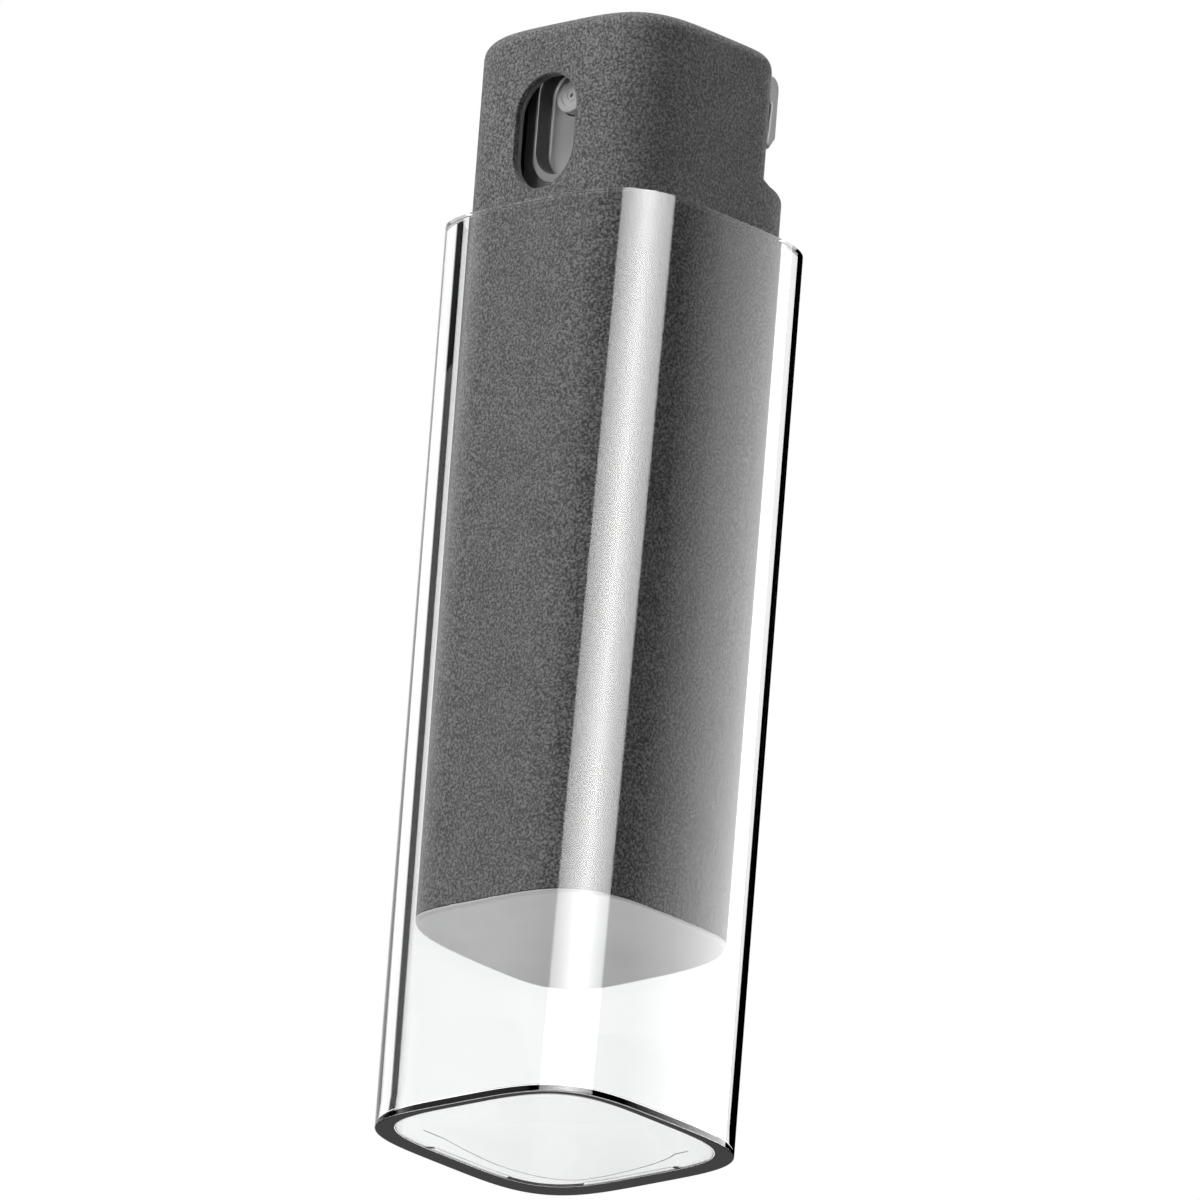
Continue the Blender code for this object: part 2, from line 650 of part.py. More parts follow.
def make_actuator():
    half = WINDOW_WIDTH / 2 + PLATE_LAP
    outline = round_rectangle((-half, ACTUATOR_FRONT_Y), (half, ACTUATOR_BACK_Y), ACTUATOR_CORNER)
    height = ACTUATOR_TOP - PLATE_BOTTOM
    mesh = extruded("actuator", outline, height)
    mesh.transform(Matrix.Translation((0, 0, PLATE_BOTTOM + height / 2)))
    actuator = add_piece("actuator", mesh, press, pale_plastic)
    hollow_half = half - ACTUATOR_WALL
    hollow_front = RECESS_FLOOR_Y + ACTUATOR_WALL
    hollow_back = ACTUATOR_BACK_Y - ACTUATOR_BACK_WALL
    ceiling = ACTUATOR_TOP - ACTUATOR_WALL
    hollow_low = (-hollow_half, hollow_front, PLATE_BOTTOM - CUT_PAST)
    hollow_high = (hollow_half, hollow_back, ceiling)
    hollow = add_cutter("hollow_cutter", box_mesh("hollow_cutter", hollow_low, hollow_high), press)
    into_wall = ACTUATOR_WALL / 2
    post_mesh = rod_mesh("post_join", POST_RADIUS, SOCKET_BOTTOM, ceiling + into_wall)
    post = add_cutter("post_join", post_mesh, press)
    boss_radius = NOZZLE_BORE_RADIUS + ACTUATOR_WALL
    boss_mesh = rod_mesh("boss_join", boss_radius, 0, -(hollow_front - into_wall))
    boss = add_cutter("boss_join", boss_mesh, press, facing_front(0, NOZZLE_HEIGHT))
    recess_mesh = extruded("recess_cutter", stadium(RECESS_WIDTH, RECESS_RUN), 2 * RECESS_DEPTH)
    recess_turn = facing_front(ACTUATOR_FRONT_Y, NOZZLE_HEIGHT - RECESS_RUN)
    recess = add_cutter("recess_cutter", recess_mesh, press, recess_turn)
    bore_low = -(RECESS_FLOOR_Y + NOZZLE_SEAT + SEAT_GAP)
    bore_mesh = rod_mesh("nozzle_bore_cutter", NOZZLE_BORE_RADIUS, bore_low, CUT_PAST - RECESS_FLOOR_Y)
    bore = add_cutter("nozzle_bore_cutter", bore_mesh, press, facing_front(0, NOZZLE_HEIGHT))
    feed_mesh = rod_mesh("feed_cutter", CHANNEL_DIAMETER / 2, 0, -RECESS_FLOOR_Y - NOZZLE_SEAT / 2)
    feed = add_cutter("feed_cutter", feed_mesh, press, facing_front(0, NOZZLE_HEIGHT))
    riser_mesh = rod_mesh("riser_cutter", CHANNEL_DIAMETER / 2, SOCKET_BOTTOM, NOZZLE_HEIGHT)
    riser = add_cutter("riser_cutter", riser_mesh, press)
    socket_mesh = rod_mesh("socket_cutter", SOCKET_RADIUS, SOCKET_BOTTOM - CUT_PAST, SOCKET_TOP)
    socket = add_cutter("socket_cutter", socket_mesh, press)
    arm_half = ARM_WIDTH / 2 + FIT_GAP
    arm_low = (-arm_half, hollow_back - FIT_GAP, ARM_BOTTOM - FIT_GAP)
    arm_high = (arm_half, ACTUATOR_BACK_Y + CUT_PAST, ARM_TOP + CUT_PAST)
    arm_seat = add_cutter("arm_seat_cutter", box_mesh("arm_seat_cutter", arm_low, arm_high), press)
    combine(actuator, hollow, "DIFFERENCE")
    for other in (post, boss):
        combine(actuator, other, "UNION")
    for other in (recess, bore, feed, riser, socket, arm_seat):
        combine(actuator, other, "DIFFERENCE")


def make_nozzle():
    radius = NOZZLE_DIAMETER / 2
    hole = NOZZLE_ORIFICE / 2
    step = NOZZLE_RING_STEP
    front = NOZZLE_STAND
    back = -NOZZLE_SEAT
    dish = radius - 4 * step
    chamber = radius / 2
    profile = [(dish - 2 * step, front - 2 * step), (dish, front), (radius - step, front)]
    profile += [(radius, front - step), (radius, back), (chamber, back), (chamber, front - NOZZLE_FACE)]
    profile += [(hole, front - NOZZLE_FACE), (hole, front - step), (3 * hole, front - step)]
    profile.append((3 * hole + step, front - 2 * step))
    nozzle = turned("nozzle_insert", profile, press, light_plastic)
    nozzle.matrix_local = facing_front(RECESS_FLOOR_Y, NOZZLE_HEIGHT)


def make_tab():
    top = BODY_LENGTH - TAB_TOP_DROP
    low = top - TAB_HEIGHT
    platform_low = top - TAB_PLATFORM
    outer = BODY_HALF
    inner = outer - TAB_SKIRT
    wall = NOTCH_WALL_Y + TAB_WALL_GAP
    toe = TAB_SKIRT / 2
    outline = [(wall, platform_low), (inner - toe, platform_low), (inner, platform_low - toe)]
    outline += [(inner - toe / 2, low + toe), *arc((inner + toe / 2, low + toe), toe, 180, 270, ARC_STEPS)]
    outline += [(outer, low + 2 * toe)]
    outline += arc((outer - TAB_EDGE_ROUND, top - TAB_EDGE_ROUND), TAB_EDGE_ROUND, 0, 90, ARC_STEPS)
    outline.append((wall, top))
    mesh = extruded("finger_tab", outline, TAB_WIDTH)
    # The outline is drawn in Y and Z, and its thickness lies along X
    mesh.transform(Matrix(((0, 0, 1, 0), (1, 0, 0, 0), (0, 1, 0, 0), (0, 0, 0, 1))))
    tab = add_piece("finger_tab", mesh, press, light_plastic)
    bowed_mesh = loft("bowed_back", [section(BODY_HALF, low - CUT_PAST), section(BODY_HALF, top + CUT_PAST)])
    bowed = add_cutter("bowed_back", bowed_mesh, press)
    arm_low = (-ARM_WIDTH / 2, ACTUATOR_BACK_Y - ARM_GRIP, ARM_BOTTOM)
    arm_high = (ARM_WIDTH / 2, inner + toe / 2, ARM_TOP)
    arm = add_cutter("arm_join", box_mesh("arm_join", arm_low, arm_high), press)
    combine(tab, bowed, "INTERSECT")
    combine(tab, arm, "UNION")


clear_scene()
parts = new_collection("lens_cleaning_spray")
cutters = new_collection("cutters", hidden=True)
body = new_empty("body_slide", BODY_BASE)
press = new_empty("press_slide", 0, body)

clear_plastic = finish("clear plastic", (0.9, 0.92, 0.93), 0.05, alpha=0.25)
microfibre = finish("grey microfibre", (0.13, 0.13, 0.13), 0.95)
dark_plastic = finish("dark grey plastic", (0.06, 0.06, 0.06), 0.5)
pale_plastic = finish("mid grey plastic", (0.28, 0.28, 0.28), 0.45)
light_plastic = finish("light grey plastic", (0.38, 0.38, 0.38), 0.4)
white_plastic = finish("white plastic", (0.8, 0.8, 0.8), 0.4)
rubber = finish("seal rubber", (0.05, 0.05, 0.05), 0.8)
steel = finish("stainless steel", (0.6, 0.6, 0.6), 0.3, metallic=1.0)

make_cover()
make_sleeve_and_shell()
make_plug()
make_bottle()
make_collar()
make_gasket()
make_housing()
make_retainer()
make_stem_seal()
make_dip_tube()
make_ball()
make_spring()
make_stem()
make_piston()
make_poppet()
make_actuator()
make_nozzle()
make_tab()
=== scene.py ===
import json
import math

import bmesh
import bpy
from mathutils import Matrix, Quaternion, Vector


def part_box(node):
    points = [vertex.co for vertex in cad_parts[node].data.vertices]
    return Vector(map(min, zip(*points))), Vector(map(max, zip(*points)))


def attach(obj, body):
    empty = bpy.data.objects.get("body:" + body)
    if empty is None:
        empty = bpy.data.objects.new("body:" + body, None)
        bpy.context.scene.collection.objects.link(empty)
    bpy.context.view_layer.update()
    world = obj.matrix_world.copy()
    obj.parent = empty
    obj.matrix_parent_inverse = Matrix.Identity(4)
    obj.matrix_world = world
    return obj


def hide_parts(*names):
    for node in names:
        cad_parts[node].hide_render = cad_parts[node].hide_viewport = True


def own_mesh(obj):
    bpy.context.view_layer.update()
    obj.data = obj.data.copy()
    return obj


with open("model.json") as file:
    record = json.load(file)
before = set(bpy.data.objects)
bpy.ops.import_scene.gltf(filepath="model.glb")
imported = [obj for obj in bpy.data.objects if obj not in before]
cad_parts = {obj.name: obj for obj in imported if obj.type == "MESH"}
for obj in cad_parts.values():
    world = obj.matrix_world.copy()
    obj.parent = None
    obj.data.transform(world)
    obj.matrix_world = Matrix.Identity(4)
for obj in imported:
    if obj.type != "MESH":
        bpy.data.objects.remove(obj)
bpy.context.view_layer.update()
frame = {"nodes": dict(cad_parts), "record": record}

print("frame:", len(frame["nodes"]), "nodes loaded")


# Modelling tools

def deselectAll():
    if bpy.context.object and bpy.context.object.mode != "OBJECT":
        bpy.ops.object.mode_set(mode="OBJECT")
    bpy.ops.object.select_all(action="DESELECT")


def makeActive(piece):
    deselectAll()
    piece.select_set(True)
    bpy.context.view_layer.objects.active = piece


def ringStack(name, rings, capped=True):
    # a circle is moved onto the first ring, extruded ring by ring and closed at both ends
    deselectAll()
    bpy.ops.mesh.primitive_circle_add(vertices=len(rings[0]), radius=1)
    piece = bpy.context.object
    piece.name = name
    piece.data.name = name
    bpy.ops.object.mode_set(mode="EDIT")
    edit = bmesh.from_edit_mesh(piece.data)
    place = edit.verts.layers.int.new("ringPlace")
    for number, vertex in enumerate(edit.verts):
        vertex[place] = number
        vertex.co = rings[0][number]
    for ring in rings[1:]:
        bpy.ops.mesh.extrude_region_move()
        edit = bmesh.from_edit_mesh(piece.data)
        place = edit.verts.layers.int["ringPlace"]
        for vertex in edit.verts:
            if vertex.select:
                vertex.co = ring[vertex[place]]
    bmesh.update_edit_mesh(piece.data)
    bpy.ops.mesh.select_all(action="SELECT")
    if capped:
        bpy.ops.mesh.fill_holes(sides=0)
    bpy.ops.mesh.select_all(action="SELECT")
    bpy.ops.mesh.remove_doubles(threshold=1e-7)
    bpy.ops.mesh.normals_make_consistent(inside=False)
    bpy.ops.object.mode_set(mode="OBJECT")
    piece.data.attributes.remove(piece.data.attributes["ringPlace"])
    return piece


def applyBoolean(piece, other, operation):
    makeActive(piece)
    change = piece.modifiers.new("change", "BOOLEAN")
    change.operation = operation
    change.solver = "EXACT"
    change.object = other
    bpy.ops.object.modifier_apply(modifier=change.name)
    bpy.data.objects.remove(other, do_unlink=True)


def boxTool(low, high):
    deselectAll()
    middle = (Vector(low) + Vector(high)) / 2
    bpy.ops.mesh.primitive_cube_add(size=1, location=middle)
    bpy.ops.transform.resize(value=Vector(high) - Vector(low))
    bpy.ops.object.transform_apply()
    return bpy.context.object


rodSides = 64


def rodTool(radius, start, end):
    deselectAll()
    run = Vector(end) - Vector(start)
    turn = Vector((0, 0, 1)).rotation_difference(run).to_euler()
    middle = (Vector(start) + Vector(end)) / 2
    bpy.ops.mesh.primitive_cylinder_add(
        vertices=rodSides, radius=radius, depth=run.length, location=middle, rotation=turn
    )
    bpy.ops.object.transform_apply()
    return bpy.context.object


def shadeSmooth(piece, angle=32):
    makeActive(piece)
    bpy.ops.object.shade_smooth_by_angle(angle=math.radians(angle))


def dress(piece, body, slot, material, *nodes):
    piece.data.materials.clear()
    piece.data.materials.append(material)
    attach(piece, body)
    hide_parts(*nodes)


# Bowed square that the cover, cloth, shell and plug share

bowed = {"power": 4, "points": 192, "roundSteps": 8}


def bowedPoint(half, turn):
    across = math.cos(turn)
    along = math.sin(turn)
    power = bowed["power"]
    reach = half * (abs(across) ** power + abs(along) ** power) ** (-1 / power)
    return Vector((reach * across, reach * along, 0))


def bowedSide(half, offset):
    # how far the outline lies from one axis, at an offset from the other
    power = bowed["power"]
    return (half ** power - abs(offset) ** power) ** (1 / power)


def turnsRound(count):
    return [2 * math.pi * (number + 0.5) / count for number in range(count)]


def bowedRing(half, height):
    return [bowedPoint(half, turn) + Vector((0, 0, height)) for turn in turnsRound(bowed["points"])]


def edgeRound(half, height, radius, inward, upward):
    # (half width, height) pairs on a quarter round, from the flat to the wall
    pairs = []
    for step in range(bowed["roundSteps"] + 1):
        turn = math.pi / 2 * step / bowed["roundSteps"]
        inset = inward * radius * (1 - math.sin(turn))
        pairs.append((half - inset, height + upward * radius * (1 - math.cos(turn))))
    return pairs


# Materials

def newMaterial(name):
    material = bpy.data.materials.new(name)
    material.use_nodes = True
    tree = material.node_tree
    return material, tree, tree.nodes["Principled BSDF"]


def addNode(tree, kind, **values):
    node = tree.nodes.new(kind)
    for name, value in values.items():
        if hasattr(node, name):
            setattr(node, name, value)
        else:
            node.inputs[name].default_value = value
    return node


def feed(tree, socket, value):
    # a number is set on the socket, and a node's output is linked to it
    if isinstance(value, (int, float)):
        socket.default_value = value
    else:
        tree.links.new(value, socket)


def mathNode(tree, operation, first, second):
    node = addNode(tree, "ShaderNodeMath", operation=operation)
    feed(tree, node.inputs[0], first)
    feed(tree, node.inputs[1], second)
    return node.outputs[0]


def times(tree, first, second):
    return mathNode(tree, "MULTIPLY", first, second)


def plus(tree, first, second):
    return mathNode(tree, "ADD", first, second)


def mapRange(tree, source, fromLow, fromHigh, toLow, toHigh):
    node = addNode(tree, "ShaderNodeMapRange")
    names = ("From Min", "From Max", "To Min", "To Max")
    for name, value in zip(names, (fromLow, fromHigh, toLow, toHigh)):
        node.inputs[name].default_value = value
    tree.links.new(source, node.inputs["Value"])
    return node.outputs["Result"]


def ramp(tree, source, stops):
    node = addNode(tree, "ShaderNodeValToRGB")
    elements = node.color_ramp.elements
    while len(elements) < len(stops):
        elements.new(0.5)
    for element, (position, level) in zip(elements, stops):
        element.position = position
        element.color = (level, level, level, 1)
    tree.links.new(source, node.inputs["Fac"])
    return node.outputs["Color"]


def mixShader(tree, share, first, second):
    mix = addNode(tree, "ShaderNodeMixShader")
    tree.links.new(share, mix.inputs[0])
    tree.links.new(first.outputs[0], mix.inputs[1])
    tree.links.new(second.outputs[0], mix.inputs[2])
    return mix


def showSurface(tree, shader):
    tree.links.new(shader.outputs[0], tree.nodes["Material Output"].inputs["Surface"])


def objectParts(tree, kind="Object"):
    where = addNode(tree, "ShaderNodeTexCoord")
    parts = addNode(tree, "ShaderNodeSeparateXYZ")
    tree.links.new(where.outputs[kind], parts.inputs["Vector"])
    return parts


def objectNoise(tree, scale, detail, stretch=(1, 1, 1), turn=(0, 0, 0)):
    where = addNode(tree, "ShaderNodeTexCoord")
    mapping = addNode(tree, "ShaderNodeMapping", Scale=stretch, Rotation=turn)
    noise = addNode(tree, "ShaderNodeTexNoise", Scale=scale, Detail=detail)
    tree.links.new(where.outputs["Object"], mapping.inputs["Vector"])
    tree.links.new(mapping.outputs["Vector"], noise.inputs["Vector"])
    return noise.outputs["Fac"]


noiseRange = (0.3, 0.7)  # where most of a noise's values lie


def noiseTone(tree, noise, dark, light):
    return ramp(tree, noise, list(zip(noiseRange, (dark, light))))


def addBump(tree, shader, height, distance, strength=1.0):
    bump = addNode(tree, "ShaderNodeBump", Strength=strength, Distance=distance)
    tree.links.new(height, bump.inputs["Height"])
    tree.links.new(bump.outputs["Normal"], shader.inputs["Normal"])


suede = {
    "dark": 0.05,
    "middle": 0.108,
    "light": 0.2,
    "darkAt": 0.34,
    "middleAt": 0.5,
    "lightAt": 0.66,
    "grain": 5200,
    "grainStretch": (0.85, 0.85, 1),
    "grainShare": 0.55,
    "strokes": 4600,
    "strokeStretch": (1, 1, 0.75),
    "strokeSlant": 35,
    "strokeShare": 0.45,
    "patches": 260,
    "patchShare": 0.12,
    "roughness": 0.95,
    "gloss": 0.15,
    "sheen": 0.12,
    "sheenRoughness": 0.5,
    "bumpDepth": 0.0001,
    "bumpStrength": 0.8,
}


def suedeMicrofibre():
    material, tree, shader = newMaterial("suede microfibre")
    slant = math.radians(suede["strokeSlant"])
    grain = objectNoise(tree, suede["grain"], 0.0, suede["grainStretch"])
    strokes = objectNoise(tree, suede["strokes"], 0.0, suede["strokeStretch"], (slant, slant, 0))
    patches = mathNode(tree, "SUBTRACT", objectNoise(tree, suede["patches"], 2.0), 0.5)
    nap = plus(tree, times(tree, grain, suede["grainShare"]), times(tree, strokes, suede["strokeShare"]))
    nap = plus(tree, nap, times(tree, patches, suede["patchShare"]))
    stops = [(suede[tone + "At"], suede[tone]) for tone in ("dark", "middle", "light")]
    tree.links.new(ramp(tree, nap, stops), shader.inputs["Base Color"])
    shader.inputs["Roughness"].default_value = suede["roughness"]
    shader.inputs["Specular IOR Level"].default_value = suede["gloss"]
    shader.inputs["Sheen Weight"].default_value = suede["sheen"]
    shader.inputs["Sheen Roughness"].default_value = suede["sheenRoughness"]
    addBump(tree, shader, nap, suede["bumpDepth"], suede["bumpStrength"])
    return material


moulded = {"cloud": 90, "cloudShare": 0.06, "grain": 1400, "grainDepth": 0.000008, "roughSpread": 0.05}
# painted shade on the actuator behind the window: how far its side faces and its foremost faces are
# darkened
paintedWindowShade = {
    "facing": -0.85,
    "turned": -0.4,
    "turnedLevel": 0.1,
    "frontLevel": 0.6,
    "frontDepth": 0.0015,
}


def mouldedPlastic(name, colour, roughness, front=None):
    material, tree, shader = newMaterial(name)
    cloud = objectNoise(tree, moulded["cloud"], 3.0)
    fine = objectNoise(tree, moulded["grain"], 2.0)
    dark = colour * (1 - moulded["cloudShare"])
    light = colour * (1 + moulded["cloudShare"])
    tone = noiseTone(tree, cloud, dark, light)
    if front is not None:
        # painted shade: faces that don't look forward are darkened, and the foremost ones are painted
        # darker than those behind, standing in for the shade inside the window
        shade = paintedWindowShade
        facing = objectParts(tree, "Normal").outputs["Y"]
        depth = objectParts(tree).outputs["Y"]
        sides = mapRange(tree, facing, shade["facing"], shade["turned"], 1.0, shade["turnedLevel"])
        paintedFrontShade = mapRange(tree, depth, front, front + shade["frontDepth"], shade["frontLevel"], 1.0)
        tone = times(tree, times(tree, tone, sides), paintedFrontShade)
    tree.links.new(tone, shader.inputs["Base Color"])
    smooth = roughness - moulded["roughSpread"]
    rough = roughness + moulded["roughSpread"]
    tree.links.new(mapRange(tree, fine, *noiseRange, smooth, rough), shader.inputs["Roughness"])
    addBump(tree, shader, fine, moulded["grainDepth"])
    return material


clearLook = {"index": 1.49, "tint": (0.985, 0.99, 0.99), "smears": 120, "smearRange": (0.45, 0.75)}
bottleTint = (0.9, 0.92, 0.92)


def clearPlastic(name, tint, roughLow, roughHigh):
    # light from the lamps goes straight through, and the eye sees the bent light
    material, tree, shader = newMaterial(name)
    smears = objectNoise(tree, clearLook["smears"], 4.0)
    rub = mapRange(tree, smears, *clearLook["smearRange"], roughLow, roughHigh)
    tree.links.new(rub, shader.inputs["Roughness"])
    shader.inputs["Base Color"].default_value = (*tint, 1)
    shader.inputs["Transmission Weight"].default_value = 1.0
    shader.inputs["IOR"].default_value = clearLook["index"]
    path = addNode(tree, "ShaderNodeLightPath")
    seen = shader
    for ray in ("Is Diffuse Ray", "Is Shadow Ray"):
        seen = mixShader(tree, path.outputs[ray], seen, addNode(tree, "ShaderNodeBsdfTransparent"))
    showSurface(tree, seen)
    return material


rubber = {"bloom": 500, "dark": 0.03, "light": 0.06, "roughness": 0.8, "bumpDepth": 0.00002}


def sealRubber():
    material, tree, shader = newMaterial("seal rubber")
    bloom = objectNoise(tree, rubber["bloom"], 3.0)
    tone = noiseTone(tree, bloom, rubber["dark"], rubber["light"])
    tree.links.new(tone, shader.inputs["Base Color"])
    shader.inputs["Roughness"].default_value = rubber["roughness"]
    addBump(tree, shader, bloom, rubber["bumpDepth"])
    return material


steel = {"drawn": 900, "stretch": (1, 1, 6), "dark": 0.5, "light": 0.68, "smooth": 0.2, "rough": 0.34}


def brightSteel():
    material, tree, shader = newMaterial("bright steel")
    drawn = objectNoise(tree, steel["drawn"], 2.0, steel["stretch"])
    tone = noiseTone(tree, drawn, steel["dark"], steel["light"])
    rough = mapRange(tree, drawn, *noiseRange, steel["smooth"], steel["rough"])
    tree.links.new(tone, shader.inputs["Base Color"])
    tree.links.new(rough, shader.inputs["Roughness"])
    shader.inputs["Metallic"].default_value = 1.0
    return material


finishes = {
    "clear_plastic": clearPlastic("clear cover plastic", clearLook["tint"], 0.0, 0.012),
    "microfibre": suedeMicrofibre(),
    "dark_plastic": mouldedPlastic("dark shell plastic", 0.06, 0.5),
    # the actuator's grey plastic carries painted shade on its side faces and its foremost faces
    "mid_plastic": mouldedPlastic("grey actuator plastic, painted shade", 0.32, 0.42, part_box("actuator")[0].y),
    "light_plastic": mouldedPlastic("light grey plastic", 0.38, 0.4),
    "bottle_plastic": clearPlastic("natural bottle plastic", bottleTint, 0.25, 0.35),
    "white_plastic": mouldedPlastic("white pump plastic", 0.8, 0.4),
    "seal_rubber": sealRubber(),
    "stainless_steel": brightSteel(),
}
ownFinishes = {
    "insert": mouldedPlastic("pale insert plastic", 0.6, 0.4),
    "plug": mouldedPlastic("pale plug plastic", 0.55, 0.45),
    "tab": mouldedPlastic("grey tab plastic", 0.27, 0.42),
}
print("materials:", len(finishes) + len(ownFinishes))

for part in frame["record"]["subparts"]:
    node = frame["nodes"][part["node"]]
    node.data.materials.clear()
    node.data.materials.append(finishes[part["material_slot"]])


# Clear cover

cover = {
    "wall": 0.0015,
    "floor": 0.001,
    "footRound": 0.00012,
    "rimRound": 0.00004,
    "floorRound": 0.0002,
    "support": 0.0002,
    "lineInset": 0.0009,
    "lineHeight": 0.0027,
    "lineMiddle": 133,
    "lineReach": 0.42,
    "lineWidth": 0.0001,
    "floorLineWidth": 0.0003,
    "lineDepth": 0.0001,
}


def witnessLine(start, run, into, width):
    # rings of the fine groove that the mould's inserts leave on the two walls away from the window
    middle = math.radians(cover["lineMiddle"])
    rings = []
    for along, deep in ((0, 0), (0.5, 1), (1, 0)):
        step = along * width
        ring = []
        for turn in turnsRound(bowed["points"]):
            grooved = math.cos(turn - middle) > cover["lineReach"]
            drop = deep * cover["lineDepth"] if grooved else 0
            half = start[0] + run[0] * step + into[0] * drop
            height = start[1] + run[1] * step + into[1] * drop
            ring.append(bowedPoint(half, turn) + Vector((0, 0, height)))
        rings.append(ring)
    return rings


def makeCover():
    low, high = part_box("clear_cover")
    outer = high.x
    inner = outer - cover["wall"]
    floor = low.z + cover["floor"]
    pairs = [(outer - cover["footRound"] - cover["support"], low.z)]
    pairs += edgeRound(outer, low.z, cover["footRound"], 1, 1)
    pairs += reversed(edgeRound(outer, high.z, cover["rimRound"], 1, -1))
    pairs += edgeRound(inner, high.z, cover["rimRound"], -1, -1)
    rings = [bowedRing(half, height) for half, height in pairs]
    wallLine = (inner, cover["lineHeight"])
    rings += witnessLine(wallLine, (0, -1), (1, 0), cover["lineWidth"])
    foot = reversed(edgeRound(inner, floor, cover["floorRound"], 1, 1))
    rings += [bowedRing(half, height) for half, height in foot]
    floorLine = (inner - cover["lineInset"], floor)
    rings += witnessLine(floorLine, (-1, 0), (0, -1), cover["floorLineWidth"])
    piece = ringStack("cover_moulding", rings)
    shadeSmooth(piece)
    dress(piece, "cover", "clear_plastic", finishes["clear_plastic"], "clear_cover")
    return piece


coverMoulding = makeCover()
print("cover:", len(coverMoulding.data.polygons), "faces")


# Cloth and the shell under it

form = {
    "topRound": 0.002,
    "notchDepth": 0.0049,
    "notchDrop": 0.0125,
    "notchCorner": 0.00275,
    "lipRound": 0.00125,
    "cloth": 0.0005,
    "glue": 0.0001,
    "shellWall": 0.001,
    "leastRound": 0.0003,
    "smoothAngle": 40,
}
window = {
    "width": 0.0075,
    "height": 0.0112,
    "drop": 0.01105,
    "points": 96,
    "edge": 0.0011,
    "relief": 0.0016,
    "cutBefore": 0.002,
    "cutBehind": 0.004,
}
slotForArm = {"half": 0.0034, "low": 0.0093, "high": 0.0019, "reach": 0.003}

bodyLow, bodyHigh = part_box("microfibre_sleeve")
bodyHalf = bodyHigh.x
notchWall = bodyHalf - form["notchDepth"]
notchFloor = bodyHigh.z - form["notchDrop"]


def notchedPoint(point, inset):
    # where the line from the axis to an outline point meets the notch's wall or its round corner
    wall = notchWall - inset
    corner = form["notchCorner"] - inset
    cornerY = wall - corner
    if point.y <= cornerY:
        return point.copy()
    half = bodyHalf - inset
    cornerX = bowedSide(half, cornerY) - corner
    share = wall / point.y
    if abs(point.x) * share > cornerX:
        middle = Vector((math.copysign(cornerX, point.x), cornerY, 0))
        along = point.dot(middle) / point.dot(point)
        spare = along * along - (middle.dot(middle) - corner * corner) / point.dot(point)
        share = along + math.sqrt(spare)
    return point * min(share, 1.0)


def skinRings(inset, bottom):
    # rings of the body's form from its top down, inset from the cloth's outside
    half = bodyHalf - inset
    top = bodyHigh.z - inset
    floor = notchFloor - inset
    topRound = form["topRound"] - inset
    lipRound = max(form["lipRound"] - inset, form["leastRound"])
    outline = [bowedPoint(half, turn) for turn in turnsRound(bowed["points"])]
    head = [notchedPoint(point, inset) for point in outline]
    rings = []
    for shrunk, height in edgeRound(half, top, topRound, 1, -1):
        rings.append([point * shrunk / half + Vector((0, 0, height)) for point in head])
    rings.append([point + Vector((0, 0, floor)) for point in head])
    for step in range(bowed["roundSteps"] + 1):
        turn = math.pi / 2 * step / bowed["roundSteps"]
        height = floor - lipRound * (1 - math.cos(turn))
        ring = []
        for outer, inner in zip(outline, head):
            depth = (outer - inner).length
            lean = min(lipRound, depth) * (1 - math.sin(turn))
            inwards = (inner - outer) / depth if depth > 0 else Vector()
            ring.append(outer + inwards * lean + Vector((0, 0, height)))
        rings.append(ring)
    rings.append([point + Vector((0, 0, bottom)) for point in outline])
    return rings


def oblongRing(width, height, middle, y, points):
    run = height - width
    ring = []
    for turn in turnsRound(points):
        rise = math.copysign(run / 2, math.sin(turn))
        ring.append(Vector((width / 2 * math.cos(turn), y, middle + rise + width / 2 * math.sin(turn))))
    return ring


def windowTool(name, front, spread=0):
    # oblong block from a depth behind the body's front inwards, wider than the window by the spread
    width = window["width"] + spread
    height = window["height"] + spread
    middle = bodyHigh.z - window["drop"]
    depths = (front - bodyHalf, window["cutBehind"] - bodyHalf)
    return ringStack(name, [oblongRing(width, height, middle, y, window["points"]) for y in depths])


def cutOpenings(piece):
    applyBoolean(piece, windowTool("window tool", -window["cutBefore"]), "DIFFERENCE")
    low = (-slotForArm["half"], notchWall - slotForArm["reach"], bodyHigh.z - slotForArm["low"])
    high = (slotForArm["half"], notchWall + slotForArm["reach"], bodyHigh.z - slotForArm["high"])
    applyBoolean(piece, boxTool(low, high), "DIFFERENCE")


def makeSkin(name, outside, inside, bottom):
    rings = skinRings(outside, bottom) + list(reversed(skinRings(inside, bottom)))
    piece = ringStack(name, rings)
    cutOpenings(piece)
    shadeSmooth(piece, form["smoothAngle"])
    return piece


def makeCloth():
    piece = makeSkin("microfibre_cloth", 0, form["cloth"], bodyLow.z)
    dress(piece, "spray_body", "microfibre", finishes["microfibre"], "microfibre_sleeve")
    return piece


def makeShell():
    outside = form["cloth"] + form["glue"]
    piece = makeSkin("moulded_shell", outside, outside + form["shellWall"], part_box("body_shell")[0].z)
    # the wall is thinner round the window
    applyBoolean(piece, windowTool("relief tool", window["edge"], 2 * window["relief"]), "DIFFERENCE")
    shadeSmooth(piece, form["smoothAngle"])
    dress(piece, "spray_body", "dark_plastic", finishes["dark_plastic"], "body_shell")
    return piece


cloth = makeCloth()
shell = makeShell()
print("cloth and shell:", len(cloth.data.polygons), "and", len(shell.data.polygons), "faces")


# Plug under the body

plug = {
    "edgeRound": 0.0003,
    "support": 0.0002,
    "lip": 0.0004,
    "flange": 0.0015,
    "wall": 0.0012,
    "fit": 0.00015,
}


